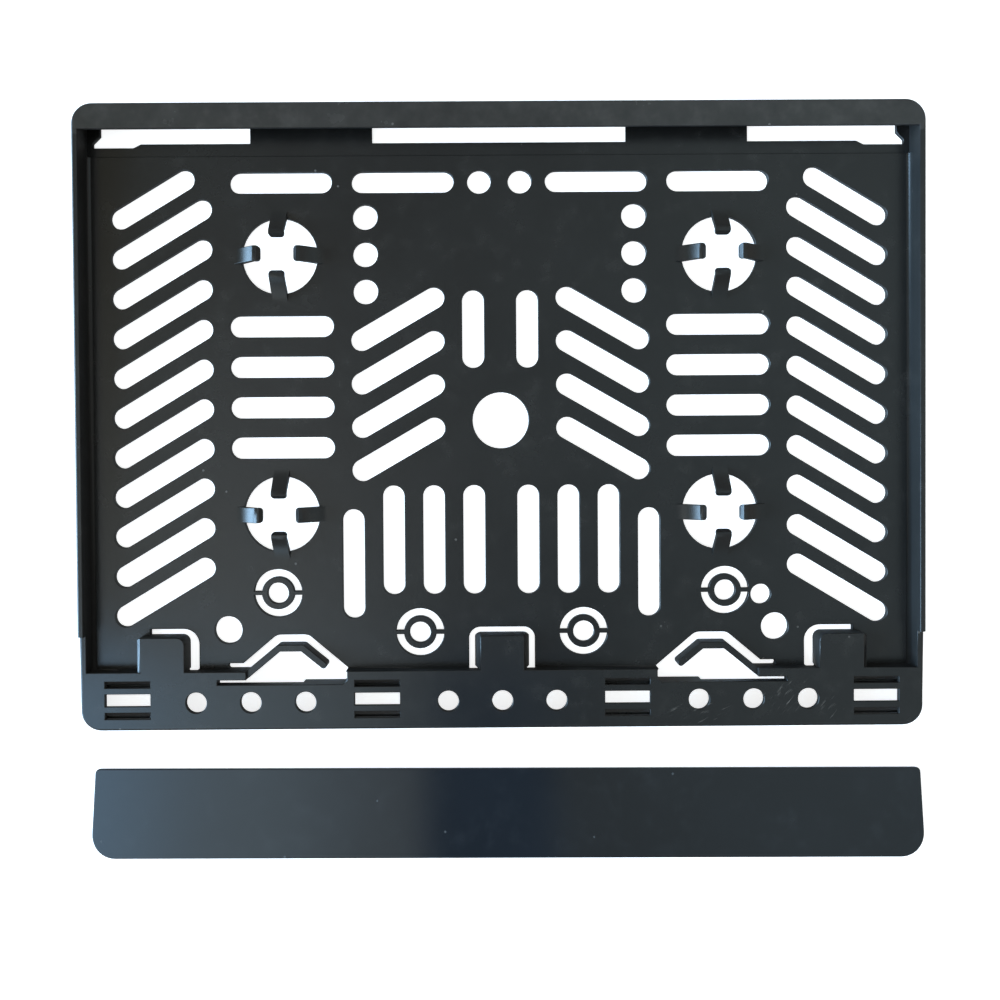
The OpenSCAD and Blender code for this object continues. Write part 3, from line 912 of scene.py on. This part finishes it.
@dataclass(frozen=True)
class Table:
    """The white table.

    Attributes:
        name: Its name and that of its material.
        width: Its width, in metres.
        below: How far it lies under the mouldings' backs, in metres.
        colour: The colour that takes the mouldings' shadow.
        shine: The light it is given where it is seen, so that it comes out white.
        in_gloss: The share of that light that the plastic mirrors.
    """

    name: str = "white_table"
    width: float = 6.0
    below: float = 0.0002
    colour: Colour = (0.9, 0.9, 0.9)
    shine: float = 0.8
    in_gloss: float = 0.2

    def lay(self) -> bpy.types.Object:
        """Lay the table under the mouldings.

        Returns:
            The table.
        """
        bpy.ops.mesh.primitive_plane_add(size=self.width, location=(0.0, 0.0, -self.below))
        top = bpy.context.object
        top.name = self.name
        made = bpy.data.materials.new(self.name)
        made.use_nodes = True
        bench = NodeBench(made.node_tree)
        plain = bench.node("ShaderNodeBsdfDiffuse", {}, {"Color": rgba(self.colour)})
        glow = bench.node("ShaderNodeEmission", {}, {"Color": rgba(WHITE), "Strength": self.shine})
        white = bench.node("ShaderNodeAddShader", {}, {0: plain, 1: glow})
        seen = bench.ray("Camera") + bench.ray("Glossy") * self.in_gloss + bench.ray("Transmission")
        mixed = bench.node("ShaderNodeMixShader", {}, {0: seen, 1: plain, 2: white})
        bench.finish("ShaderNodeOutputMaterial", mixed)
        top.data.materials.append(made)
        return top


@dataclass(frozen=True)
class PhotoCamera:
    """The camera, almost straight above the table.

    Attributes:
        lens: Its focal length, in millimetres.
        sensor: The width of its sensor, in millimetres.
        shift: How far the frame is shifted across and up.
        place: Where it is, in metres.
        turn: How it is turned about X, Y and Z, in radians.
        nearest: The nearest that it sees, in metres.
    """

    lens: float = 37.34
    sensor: float = 36.0
    shift: tuple[float, float] = (0.0078, -0.0429)
    place: Triple = (-0.0045, -0.0190, 0.3652)
    turn: Triple = (-0.0162, -0.0040, -0.0066)
    nearest: float = 0.02

    def put_up(self) -> None:
        """Put the camera where the photograph was taken."""
        data = bpy.data.cameras.new("photo_camera")
        data.lens = self.lens
        data.sensor_width = self.sensor
        data.shift_x, data.shift_y = self.shift
        data.clip_start = self.nearest
        camera = bpy.data.objects.new("photo_camera", data)
        bpy.context.scene.collection.objects.link(camera)
        turn = Matrix.Identity(3)
        for angle, axis in zip(self.turn, "XYZ"):
            turn = turn @ Matrix.Rotation(angle, 3, axis)
        camera.location = self.place
        camera.rotation_euler = turn.to_euler()
        bpy.context.scene.camera = camera


@dataclass(frozen=True)
class Studio:
    """The table, the light and the camera of the photograph.

    Attributes:
        camera: The camera.
        table: The table.
        room: The colour of the room where no patch lies.
        patches: The patches of the room, from the rearmost to the foremost.
        card: The card that the strip and the band mirror.
    """

    camera: PhotoCamera = PhotoCamera()
    table: Table = Table()
    room: Colour = (0.32, 0.33, 0.325)
    patches: tuple[RoomPatch, ...] = (
        Glow((-1.0, -0.10, 0.14), (5.5, 9.0, 13.0), 10.0, 35.0),
        Glow((-1.0, -0.05, 0.50), (4.0, 6.5, 9.0), 8.0, 24.0),
        Glow((1.0, 0.0, 0.25), (0.2, 0.2, 0.2), 15.0, 45.0),
        Glow((-0.55, -0.40, 1.0), (0.9, 1.05, 1.1), 4.0, 32.0),
        Glow((-0.45, 0.0, 1.0), (0.65, 0.62, 0.58), 3.0, 20.0),
        Glow((-0.29, -0.15, 1.0), (0.65, 0.70, 0.75), 2.0, 11.0),
        Glow((0.50, -0.10, 1.0), (0.2, 0.3, 0.35), 5.0, 35.0),
        Glow((0.35, 0.35, 1.0), (0.15, 0.20, 0.20), 4.0, 22.0),
        Panel((-0.55, 0.20, 1.0), (0.28, 0.27, 0.15), (0.20, 0.45), 0.06, kind=Patch.SCREENED),
        Panel((0.045, -0.22, 1.0), (0.03, 0.06, 0.10), (0.10, 0.10), 0.03, kind=Patch.SCREENED),
    )
    card: Card = Card(
        name="card_over_strip",
        height=0.12,
        low=(-0.26, -0.190),
        high=(0.026, -0.116),
        colour=(0.20, 0.31, 0.48),
        fades=(
            (-0.032, -0.037, (0.85, 1.00, 1.10)),
            (-0.040, -0.120, (1.40, 1.80, 2.10)),
            (-0.120, -0.210, (1.90, 3.00, 4.20)),
        ),
    )

    def set_up(self) -> None:
        """Put up the camera, the table, the room and the card."""
        bpy.context.scene.view_settings.view_transform = "Standard"
        self.camera.put_up()
        self.table.lay()
        self._surround()
        self.card.hang()

    def _surround(self) -> None:
        """Surround the table with a room that is lit from the left."""
        world = bpy.data.worlds.new("room")
        bpy.context.scene.world = world
        world.use_nodes = True
        bench = NodeBench(world.node_tree)
        way = bench.node("ShaderNodeTexCoord", output="Generated")
        room: object = self.room
        for patch in self.patches:
            room = patch.over(bench, way, room)
        shown = bench.blend(bench.ray("Camera"), room, rgba(WHITE))
        light = bench.node("ShaderNodeBackground", {}, {"Color": shown, "Strength": 1.0})
        bench.finish("ShaderNodeOutputWorld", light)


def main() -> None:
    """Build the studio and both mouldings."""
    logging.basicConfig(level=logging.INFO, format="%(name)s: %(message)s")
    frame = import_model()
    Studio().set_up()
    for moulding in (HolderFrame(), RetainingStrip()):
        moulding.build(frame["nodes"])


if __name__ == "__main__":
    main()
